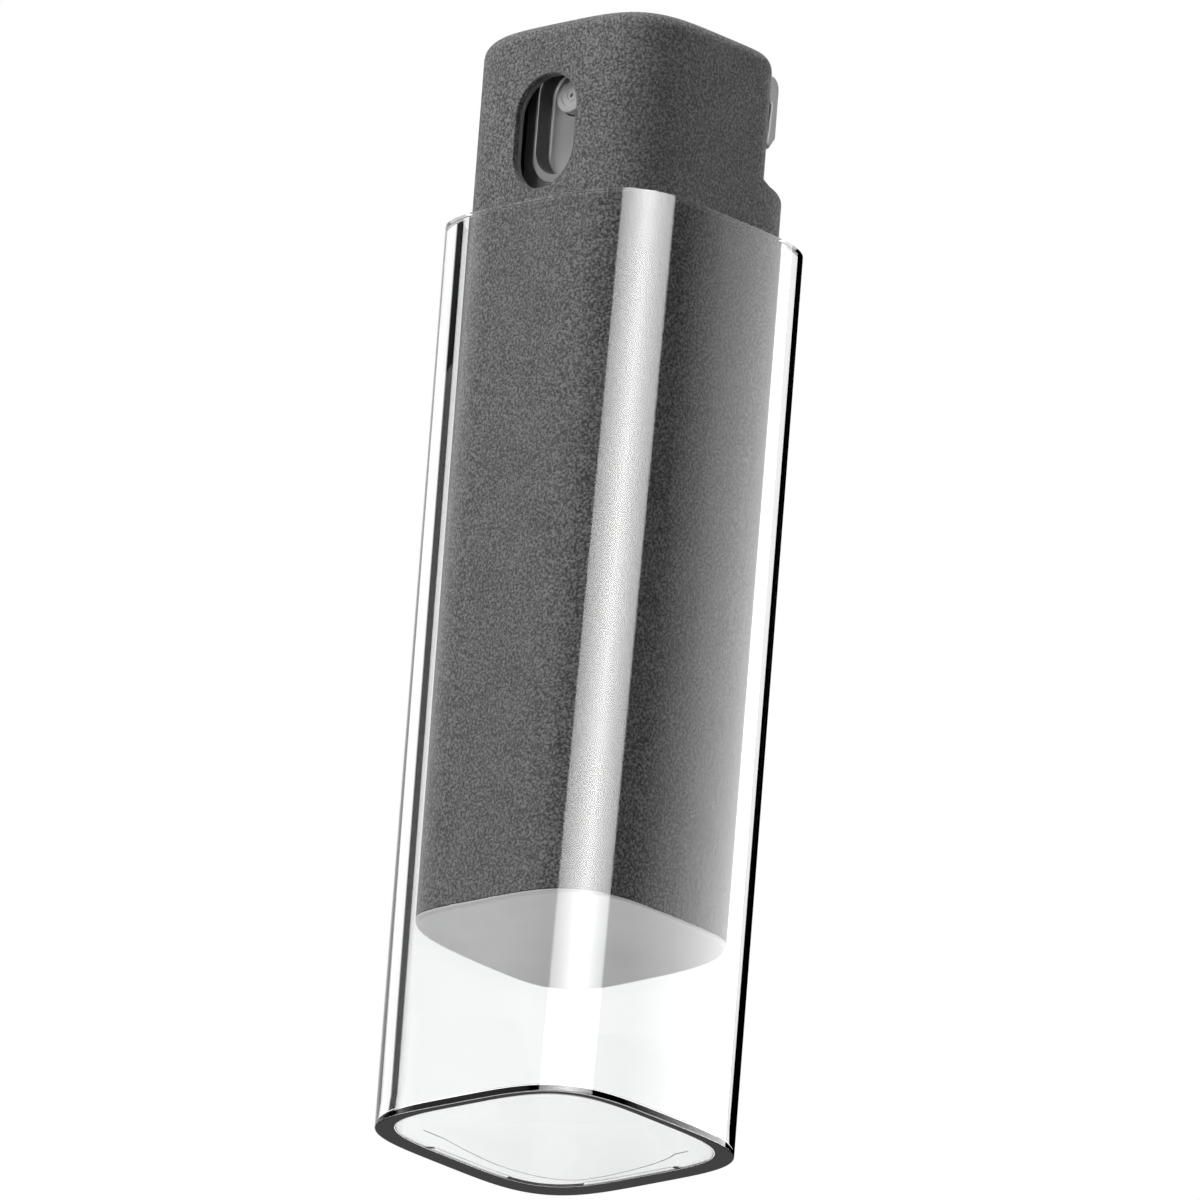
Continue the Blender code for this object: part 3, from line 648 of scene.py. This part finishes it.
def makePlug():
    low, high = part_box("base_plug")
    lipHalf = high.x
    flange = bodyHalf - form["cloth"] - form["glue"]
    spigot = flange - form["shellWall"] - plug["fit"]
    inside = spigot - plug["wall"]
    lip = low.z + plug["lip"]
    step = low.z + plug["flange"]
    pairs = [(lipHalf - plug["edgeRound"] - plug["support"], low.z)]
    pairs += edgeRound(lipHalf, low.z, plug["edgeRound"], 1, 1)
    pairs += [(lipHalf, lip), (flange, lip), (flange, step)]
    pairs += [(spigot, step), (spigot, high.z), (inside, high.z), (inside, step)]
    piece = ringStack("underside_plug", [bowedRing(half, height) for half, height in pairs])
    shadeSmooth(piece)
    dress(piece, "spray_body", "light_plastic", ownFinishes["plug"], "base_plug")


makePlug()
print("plug done")


# Actuator behind the window

actuator = {
    "wall": 0.0012,
    "backWall": 0.0024,
    "edgeRound": 0.0005,
    "recessWidth": 0.0058,
    "recessRun": 0.0051,
    "recessDepth": 0.002,
    "noseRim": 0.00025,
    "noseChin": 0.0006,
    "noseStep": 0.0012,
    "rimRound": 0.00012,
    "floorRound": 0.0004,
    "postRadius": 0.0031,
    "postBelow": 0.0027,
    "socketRadius": 0.0017,
    "socketDepth": 0.004,
    "channel": 0.0008,
    "cutPast": 0.004,
    "feedPast": 0.001,
    "points": 128,
}
nozzle = {"fit": 0.00015, "seat": 0.0022, "points": 72, "smoothAngle": 25}
tab = {
    "height": 0.007,
    "platform": 0.0024,
    "skirt": 0.0011,
    "topRound": 0.0012,
    "wallGap": 0.0004,
    "endRound": 0.0003,
    "arcSteps": 6,
    "slices": 24,
    "armHalf": 0.003,
    "armThick": 0.0021,
    "armDrop": 0.0002,
    "armFit": 0.00015,
    "armInto": 0.75,
}

nozzleLow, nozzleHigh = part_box("nozzle_insert")
nozzleHeight = (nozzleLow.z + nozzleHigh.z) / 2
nozzleRadius = nozzleHigh.x
tabLow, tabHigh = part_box("finger_tab")
actuatorLow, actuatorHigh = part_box("actuator")
recessFloor = actuatorLow.y + actuator["recessDepth"]
armTop = actuatorHigh.z - tab["armDrop"]
armBottom = armTop - tab["armThick"]


def roundedRay(turn, middle, low, high, radius):
    # where a ray from the middle meets a round-cornered rectangle
    across = math.cos(turn)
    along = math.sin(turn)
    sideX = (high if across > 0 else low)[0] - middle[0]
    sideZ = (high if along > 0 else low)[1] - middle[1]
    reach = min(sideX / across, sideZ / along)
    cornerX = sideX - math.copysign(radius, across)
    cornerZ = sideZ - math.copysign(radius, along)
    if reach * abs(across) > abs(cornerX) and reach * abs(along) > abs(cornerZ):
        nearest = cornerX * across + cornerZ * along
        reach = nearest + math.sqrt(nearest ** 2 - cornerX ** 2 - cornerZ ** 2 + radius ** 2)
    return middle[0] + reach * across, middle[1] + reach * along


def plateRing(inset, y, middle):
    low = (actuatorLow.x + inset, actuatorLow.z + actuator["postBelow"] + inset)
    high = (actuatorHigh.x - inset, actuatorHigh.z - inset)
    ring = []
    for turn in turnsRound(actuator["points"]):
        x, z = roundedRay(turn, middle, low, high, actuator["edgeRound"] * 2 - inset)
        ring.append(Vector((x, y, z)))
    return ring


def recessRing(spare, y, middle):
    width = actuator["recessWidth"] + 2 * spare
    return oblongRing(width, width + actuator["recessRun"], middle[1], y, actuator["points"])


def makeActuator():
    front = actuatorLow.y
    back = actuatorHigh.y
    middle = (0, nozzleHeight - actuator["recessRun"] / 2)
    rings = []
    for inset, y in edgeRound(0, back, actuator["edgeRound"], -1, -1):
        rings.append(plateRing(inset, y, middle))
    for inset, y in reversed(edgeRound(0, front, actuator["edgeRound"], -1, 1)):
        rings.append(plateRing(inset, y, middle))
    for spare, y in edgeRound(0, front, actuator["rimRound"], -1, 1):
        rings.append(recessRing(spare, y, middle))
    for spare, y in reversed(edgeRound(0, recessFloor, actuator["floorRound"], 1, -1)):
        rings.append(recessRing(spare, y, middle))
    piece = ringStack("spray_actuator", rings)
    # the plate steps back round a raised oblong nose
    past = actuator["cutPast"]
    stepLow = (-bodyHalf, front - past, actuatorLow.z)
    stepBack = boxTool(stepLow, (bodyHalf, front + actuator["noseStep"], bodyHigh.z))
    noseWidth = actuator["recessWidth"] + 2 * actuator["noseRim"]
    noseHeight = noseWidth + actuator["recessRun"] + actuator["noseChin"]
    noseMiddle = middle[1] - actuator["noseChin"] / 2
    nose = [oblongRing(noseWidth, noseHeight, noseMiddle, y, actuator["points"])
            for y in (front - 2 * past, front + past)]
    applyBoolean(stepBack, ringStack("nose tool", nose), "DIFFERENCE")
    applyBoolean(piece, stepBack, "DIFFERENCE")
    # hollow from below, with a post for the stem and a boss behind the nozzle
    plateBottom = actuatorLow.z + actuator["postBelow"]
    hollowHalf = actuatorHigh.x - actuator["wall"]
    hollowFront = recessFloor + actuator["wall"]
    hollowBack = back - actuator["backWall"]
    ceiling = actuatorHigh.z - actuator["wall"]
    boreRadius = nozzleRadius + nozzle["fit"]
    intoWall = actuator["wall"] / 2
    hollow = boxTool((-hollowHalf, hollowFront, plateBottom - past), (hollowHalf, hollowBack, ceiling))
    applyBoolean(piece, hollow, "DIFFERENCE")
    post = rodTool(actuator["postRadius"], (0, 0, actuatorLow.z), (0, 0, ceiling + intoWall))
    applyBoolean(piece, post, "UNION")
    bossStart = (0, hollowFront - intoWall, nozzleHeight)
    boss = rodTool(boreRadius + actuator["wall"], bossStart, (0, 0, nozzleHeight))
    applyBoolean(piece, boss, "UNION")
    # bores for the insert, the liquid and the stem, and the seat of the tab's arm
    boreEnd = recessFloor + nozzle["seat"] + 2 * nozzle["fit"]
    bore = rodTool(boreRadius, (0, front - past, nozzleHeight), (0, boreEnd, nozzleHeight))
    applyBoolean(piece, bore, "DIFFERENCE")
    feedStart = (0, boreEnd - actuator["feedPast"], nozzleHeight)
    applyBoolean(piece, rodTool(actuator["channel"], feedStart, (0, 0, nozzleHeight)), "DIFFERENCE")
    riser = rodTool(actuator["channel"], (0, 0, actuatorLow.z), (0, 0, nozzleHeight))
    applyBoolean(piece, riser, "DIFFERENCE")
    socketTop = actuatorLow.z + actuator["socketDepth"]
    socket = rodTool(actuator["socketRadius"], (0, 0, actuatorLow.z - past), (0, 0, socketTop))
    applyBoolean(piece, socket, "DIFFERENCE")
    seatHalf = tab["armHalf"] + tab["armFit"]
    seatLow = (-seatHalf, hollowBack - tab["armFit"], armBottom - tab["armFit"])
    armSeat = boxTool(seatLow, (seatHalf, back + past, armTop + past))
    applyBoolean(piece, armSeat, "DIFFERENCE")
    shadeSmooth(piece)
    dress(piece, "press_parts", "mid_plastic", finishes["mid_plastic"], "actuator")


makeActuator()
print("actuator done")


# Nozzle insert: (radius, height above the recess floor) from its seat round through the orifice

nozzleProfile = [
    (0.0017, -nozzle["seat"]),
    (0.0017, 0.00084),
    (0.00168, 0.00091),
    (0.00162, 0.00097),
    (0.00154, 0.001),
    (0.0012, 0.001),
    (0.00112, 0.00096),
    (0.00106, 0.00086),
    (0.0007, 0.00084),
    (0.00062, 0.00094),
    (0.00046, 0.00094),
    (0.00038, 0.00082),
    (0.0002, 0.00078),
    (0.0002, 0.0002),
    (0.00085, 0.0002),
    (0.00085, -nozzle["seat"]),
]


def makeNozzle():
    turns = turnsRound(nozzle["points"])
    rings = []
    for radius, rise in nozzleProfile + nozzleProfile[:1]:
        middle = Vector((0, recessFloor - rise, nozzleHeight))
        rings.append([
            middle + Vector((radius * math.cos(turn), 0, radius * math.sin(turn))) for turn in turns
        ])
    piece = ringStack("mist_insert", rings, capped=False)
    shadeSmooth(piece, nozzle["smoothAngle"])
    dress(piece, "press_parts", "light_plastic", ownFinishes["insert"], "nozzle_insert")


makeNozzle()
print("nozzle done")


# Finger tab: its side outline is carried across the notch, bowed like the body's back

def arcPoints(middle, radius, start, stop):
    steps = tab["arcSteps"]
    turns = [math.radians(start + (stop - start) * step / steps) for step in range(steps + 1)]
    return [(middle[0] + radius * math.cos(turn), middle[1] + radius * math.sin(turn)) for turn in turns]


def tabOutline():
    top = tabHigh.z
    low = top - tab["height"]
    under = top - tab["platform"]
    inner = bodyHalf - tab["skirt"]
    wall = notchWall + tab["wallGap"]
    toe = tab["skirt"] / 2
    points = [(wall, under), *reversed(arcPoints((inner - toe, under - toe), toe, 0, 90))]
    points += [(inner - toe / 2, low + toe), *arcPoints((inner + toe / 2, low + toe), toe, 180, 270)]
    points.append((bodyHalf, low + 2 * toe))
    points += arcPoints((bodyHalf - tab["topRound"], top - tab["topRound"]), tab["topRound"], 0, 90)
    points.append((wall, top))
    return points


def insetOutline(points, distance):
    # each point moves in along the mean of its two sides' normals
    moved = []
    for number, (y, z) in enumerate(points):
        before = Vector(points[number - 1])
        after = Vector(points[(number + 1) % len(points)])
        run = (after - Vector((y, z))).normalized() + (Vector((y, z)) - before).normalized()
        run.normalize()
        moved.append((y - run.y * distance, z + run.x * distance))
    return moved


def makeTab():
    half = tabHigh.x
    wall = notchWall + tab["wallGap"]
    outline = tabOutline()
    straight = half - tab["endRound"]
    ends = edgeRound(0, -half, tab["endRound"], -1, 1)
    spread = [-straight + 2 * straight * step / tab["slices"] for step in range(1, tab["slices"])]
    slices = ends + [(0, x) for x in spread] + [(inset, -x) for inset, x in reversed(ends)]
    rings = []
    for inset, x in slices:
        share = (bowedSide(bodyHalf, x) - wall) / (bodyHalf - wall)
        slimmed = insetOutline(outline, inset)
        rings.append([Vector((x, wall + (y - wall) * share, z)) for y, z in slimmed])
    piece = ringStack("press_tab", rings)
    armEnd = bodyHalf - tab["skirt"] * tab["armInto"]
    arm = boxTool((-tab["armHalf"], tabLow.y, armBottom), (tab["armHalf"], armEnd, armTop))
    applyBoolean(piece, arm, "UNION")
    shadeSmooth(piece)
    dress(piece, "press_parts", "light_plastic", ownFinishes["tab"], "finger_tab")


makeTab()
print("tab done")


# Return spring as a fixed coil; the real one's turns close up as the tab is pressed

spring = {"turns": 5.5, "wire": 0.0005, "steps": 24, "points": 12, "smoothAngle": 50}


def makeSpring():
    low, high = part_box("return_spring")
    length = high.z - low.z
    thick = spring["wire"] / 2
    radius = high.x - thick
    count = round(spring["turns"] * spring["steps"])
    climb = (length - spring["wire"]) / (2 * math.pi * spring["turns"])
    rings = []
    for number in range(count + 1):
        turn = 2 * math.pi * number / spring["steps"]
        out = Vector((math.cos(turn), math.sin(turn), 0))
        run = Vector((-radius * math.sin(turn), radius * math.cos(turn), climb)).normalized()
        side = out.cross(run)
        middle = out * radius + Vector((0, 0, low.z + thick + climb * turn))
        rings.append([middle + (out * math.cos(face) + side * math.sin(face)) * thick
                      for face in turnsRound(spring["points"])])
    piece = ringStack("coil_spring", rings)
    shadeSmooth(piece, spring["smoothAngle"])
    dress(piece, "spray_body", "stainless_steel", finishes["stainless_steel"], "return_spring")
    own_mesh(piece)


makeSpring()
print("spring done")


# Camera

view = {
    "azimuth": 43.0,
    "elevation": -17.5,
    "roll": 4.44,
    "lens": 1500,
    "clipStart": 0.01,
    "frameWidth": 0.11104,
    "aimHeight": 0.05274,
    "aimRight": 0.000326,
}
viewTurn = math.radians(view["azimuth"])
viewAhead = Vector((math.sin(viewTurn), -math.cos(viewTurn), 0))
viewRight = Vector((math.cos(viewTurn), math.sin(viewTurn), 0))


def wayOut(side, elevation):
    # direction from the object, turned by so many degrees from the camera's side
    turn = viewTurn + math.radians(side)
    tilt = math.radians(elevation)
    return Vector((math.sin(turn) * math.cos(tilt), -math.cos(turn) * math.cos(tilt), math.sin(tilt)))


def makeCamera():
    away = wayOut(0, view["elevation"])
    aim = Vector((0, 0, view["aimHeight"])) + viewRight * view["aimRight"]
    deselectAll()
    bpy.ops.object.camera_add()
    camera = bpy.context.object
    camera.name = "photo camera"
    camera.data.lens = view["lens"]
    camera.data.clip_start = view["clipStart"]
    camera.location = aim + away * view["frameWidth"] * view["lens"] / camera.data.sensor_width
    look = (-away).to_track_quat("-Z", "Y")
    camera.rotation_euler = (look @ Quaternion((0, 0, 1), math.radians(view["roll"]))).to_euler()
    bpy.context.scene.camera = camera


makeCamera()
print("camera done")


# Studio: white sweep behind, dark sides, one soft panel on the camera's side

studio = {
    "fill": 0.28,
    "fillHeights": (-0.6, 0.9),
    "fillShares": (0.5, 1.2),
    "sweep": 1.09,
    "lineShift": -8,
    "horizon": 0.1,
    "veil": 2.5,
    "belowLevel": 0.25,
    "belowInside": 1.6,
    "floorSize": 4,
    "floorGap": 0.0004,
    "floorColour": 0.82,
    "floorRoughness": 0.9,
}
# (angle, level) pairs: zero is the camera's side, minus is its left and plus its right
sweepLevels = [(-145, 1.0), (-141, 0.0), (78, 0.0), (94, 0.38), (132, 1.0)]
veilLevels = [(-130, 0.4), (-118, 0.02), (-103, 0.0), (-99, 1.0),
              (-95, 0.5), (-90, 0.2), (-64, 0.18), (-50, 0.0)]
fillLevels = [(-150, 0.7), (-80, 1.0), (-25, 0.5), (20, 0.2), (70, 0.2), (130, 0.7)]


def wheelAngle(tree, parts):
    # share of a turn round the object, with the camera's side at a half
    angle = mathNode(tree, "ARCTAN2", parts.outputs["Y"], parts.outputs["X"])
    return plus(tree, mathNode(tree, "DIVIDE", angle, 2 * math.pi), 0.5)


def wheelLevel(tree, wheel, levels, strength):
    stops = [(angle / 360 + 0.5, level) for angle, level in levels]
    return times(tree, ramp(tree, wheel, stops), strength)


def turnedBack(tree, path):
    return mathNode(tree, "GREATER_THAN", path.outputs["Glossy Depth"], 0.5)


def thrownOff(tree, path):
    # light thrown straight off the cover's outside, which never went in
    outside = mathNode(tree, "LESS_THAN", path.outputs["Transmission Depth"], 0.5)
    return times(tree, outside, turnedBack(tree, path))


def mixLevels(tree, share, first, second):
    node = addNode(tree, "ShaderNodeMix", data_type="FLOAT")
    for name, value in (("Factor", share), ("A", first), ("B", second)):
        feed(tree, node.inputs[name], value)
    return node.outputs["Result"]


def makeWorld():
    world = bpy.data.worlds.new("studio")
    bpy.context.scene.world = world
    world.use_nodes = True
    world.cycles.sampling_method = "NONE"
    tree = world.node_tree
    where = addNode(tree, "ShaderNodeTexCoord")
    turn = addNode(tree, "ShaderNodeMapping", Rotation=(0, 0, math.pi / 2 - viewTurn))
    parts = addNode(tree, "ShaderNodeSeparateXYZ")
    tree.links.new(where.outputs["Generated"], turn.inputs["Vector"])
    tree.links.new(turn.outputs["Vector"], parts.inputs["Vector"])
    wheel = wheelAngle(tree, parts)
    height = parts.outputs["Z"]
    path = addNode(tree, "ShaderNodeLightPath")
    mirrored = thrownOff(tree, path)
    # light that was never turned back is read a little less far round, to narrow the left dark line
    shift = mapRange(tree, turnedBack(tree, path), 0.0, 1.0, studio["lineShift"] / 360, 0.0)
    sweep = wheelLevel(tree, plus(tree, wheel, shift), sweepLevels, studio["sweep"])
    # light thrown straight off the outside: a faint veil on the left face, and none at the right edge
    veil = wheelLevel(tree, wheel, veilLevels, studio["veil"])
    above = mapRange(tree, height, -studio["horizon"], 0.0, 0.0, 1.0)
    below = mapRange(tree, mirrored, 0.0, 1.0, studio["belowInside"], studio["belowLevel"])
    shown = mixLevels(tree, above, below, mixLevels(tree, mirrored, sweep, veil))
    fill = wheelLevel(tree, wheel, fillLevels, studio["fill"])
    fill = times(tree, fill, mapRange(tree, height, *studio["fillHeights"], *studio["fillShares"]))
    lit = mixLevels(tree, path.outputs["Is Diffuse Ray"], shown, fill)
    white = mixLevels(tree, path.outputs["Is Camera Ray"], lit, 1.0)
    background = tree.nodes["Background"]
    background.inputs["Color"].default_value = (1, 1, 1, 1)
    tree.links.new(white, background.inputs["Strength"])


def makeFloor():
    deselectAll()
    bpy.ops.mesh.primitive_plane_add(size=studio["floorSize"], location=(0, 0, -studio["floorGap"]))
    floor = bpy.context.object
    floor.name = "studio floor"
    material, tree, shader = newMaterial("pale floor")
    material.cycles.emission_sampling = "NONE"
    shader.inputs["Base Color"].default_value = (studio["floorColour"],) * 3 + (1,)
    shader.inputs["Roughness"].default_value = studio["floorRoughness"]
    shader.inputs["Specular IOR Level"].default_value = 0.0
    path = addNode(tree, "ShaderNodeLightPath")
    # light turned back once inside the cover's floor meets it bright
    glow = addNode(tree, "ShaderNodeEmission", Strength=studio["belowInside"])
    notTwice = mathNode(tree, "LESS_THAN", path.outputs["Glossy Depth"], 1.5)
    seen = mixShader(tree, times(tree, turnedBack(tree, path), notTwice), shader, glow)
    # it is clear to the lamps' light and from below
    side = addNode(tree, "ShaderNodeNewGeometry")
    clear = mathNode(tree, "MAXIMUM", path.outputs["Is Diffuse Ray"], path.outputs["Is Shadow Ray"])
    clear = mathNode(tree, "MAXIMUM", clear, side.outputs["Backfacing"])
    showSurface(tree, mixShader(tree, clear, seen, addNode(tree, "ShaderNodeBsdfTransparent")))
    floor.data.materials.append(material)
    floor.visible_glossy = False


lamps = {
    "key lamp": {"side": -60, "elevation": 60, "distance": 0.7, "size": 0.25, "power": 3.8},
    "left lamp": {"side": -60, "elevation": 10, "distance": 0.7, "size": 0.3, "power": 2.85},
    "right lamp": {"side": 100, "elevation": 15, "distance": 0.7, "size": 0.6, "power": 2.6},
    "under lamp": {"side": 75, "elevation": -68, "distance": 0.16, "size": 0.1, "power": 0.22},
}
lampAims = {"under lamp": 0.02}  # the others aim where the camera does


def makeLamp(name, values):
    away = wayOut(values["side"], values["elevation"])
    aim = Vector((0, 0, lampAims.get(name, view["aimHeight"])))
    deselectAll()
    bpy.ops.object.light_add(type="AREA", location=aim + away * values["distance"])
    lamp = bpy.context.object
    lamp.name = name
    lamp.data.size = values["size"]
    lamp.data.energy = values["power"]
    lamp.rotation_euler = (-away).to_track_quat("-Z", "Y").to_euler()
    lamp.visible_camera = False
    lamp.visible_glossy = False
    lamp.visible_transmission = False


# Cards that are seen in the cover alone

def setCard(card, material):
    card.data.materials.append(material)
    card.visible_camera = False
    card.visible_diffuse = False
    card.visible_shadow = False


def standingCard(name, middle, width, height, turn):
    deselectAll()
    bpy.ops.mesh.primitive_plane_add(size=1, location=middle, rotation=(math.pi / 2, 0, turn))
    card = bpy.context.object
    card.name = name
    card.scale = (width, height, 1)
    return card


def glowThrownOff(card, name, strength):
    # lights the card for the light that is thrown straight off the cover's outside, and for no other
    material, tree = newMaterial(name)[:2]
    material.cycles.emission_sampling = "NONE"
    path = addNode(tree, "ShaderNodeLightPath")
    light = addNode(tree, "ShaderNodeEmission")
    straight = addNode(tree, "ShaderNodeBsdfTransparent")
    both = addNode(tree, "ShaderNodeAddShader")
    tree.links.new(times(tree, strength(tree), thrownOff(tree, path)), light.inputs["Strength"])
    tree.links.new(light.outputs[0], both.inputs[0])
    tree.links.new(straight.outputs[0], both.inputs[1])
    showSurface(tree, both)
    setCard(card, material)


flag = {"behind": 0.03, "from": -0.006, "to": 0.022, "clear": 0.001, "height": 0.16}


def makeFlag():
    # black card behind the cover's right edge, seen only where light has been turned back
    middle = viewRight * (flag["from"] + flag["to"]) / 2 - viewAhead * flag["behind"]
    middle.z = flag["height"] / 2 + flag["clear"]
    card = standingCard("black flag", middle, flag["to"] - flag["from"], flag["height"], viewTurn)
    material, tree, shader = newMaterial("black card")
    shader.inputs["Base Color"].default_value = (0, 0, 0, 1)
    shader.inputs["Specular IOR Level"].default_value = 0.0
    path = addNode(tree, "ShaderNodeLightPath")
    straight = addNode(tree, "ShaderNodeBsdfTransparent")
    showSurface(tree, mixShader(tree, turnedBack(tree, path), straight, shader))
    setCard(card, material)


panel = {"strength": 21, "lean": 128, "radius": 0.3, "height": 0.5, "middle": 0.149, "sides": 128}
panelLevels = [(-27, 0.0), (-25, 0.33), (22, 1.0), (59.5, 0.42), (61.5, 0.0)]  # by angle


def panelStrength(tree):
    parts = objectParts(tree)
    lean = times(tree, parts.outputs["Z"], -panel["lean"] / 360)
    return wheelLevel(tree, plus(tree, wheelAngle(tree, parts), lean), panelLevels, panel["strength"])


def makePanel():
    # curved panel on the camera's side, seen in the cover's outside as the bright stripe
    deselectAll()
    bpy.ops.mesh.primitive_cylinder_add(
        vertices=panel["sides"], radius=panel["radius"], depth=panel["height"], end_fill_type="NOTHING",
        location=(0, 0, panel["middle"]), rotation=(0, 0, viewTurn - math.pi / 2),
    )
    bpy.context.object.name = "soft panel"
    glowThrownOff(bpy.context.object, "glowing panel", panelStrength)


haze = {"strength": 5.0, "aside": 0.04, "from": -0.014, "to": 0.018, "height": 0.15, "fall": (1.7, 0.4)}
# how bright the card is at each distance ahead of the cover's axis
hazeLevels = [(-0.0125, 0.0), (-0.012, 1.0), (0, 1.0), (0.0033, 0.87), (0.0052, 0.7), (0.0067, 0.52),
              (0.0087, 0.24), (0.0102, 0.15), (0.0129, 0.06), (0.0175, 0.0)]


def hazeStrength(tree):
    width = haze["to"] - haze["from"]
    stops = [((ahead - haze["from"]) / width, level) for ahead, level in hazeLevels]
    parts = objectParts(tree)
    glow = ramp(tree, plus(tree, parts.outputs["X"], 0.5), stops)
    fall = mapRange(tree, parts.outputs["Y"], -0.5, 0.5, *haze["fall"])
    return times(tree, times(tree, glow, fall), haze["strength"])


def makeHazeCard():
    # glowing card close on the right, seen only in the cover's outside, where it hazes the right face
    middle = viewRight * haze["aside"] + viewAhead * (haze["from"] + haze["to"]) / 2
    middle.z = view["aimHeight"]
    width = haze["to"] - haze["from"]
    card = standingCard("haze card", middle, width, haze["height"], viewTurn - math.pi / 2)
    glowThrownOff(card, "glowing card", hazeStrength)


makeWorld()
for name, values in lamps.items():
    makeLamp(name, values)
makeFloor()
makeFlag()
makePanel()
makeHazeCard()
bpy.context.scene.view_settings.view_transform = "Standard"
print("studio done:", len(lamps), "lamps")
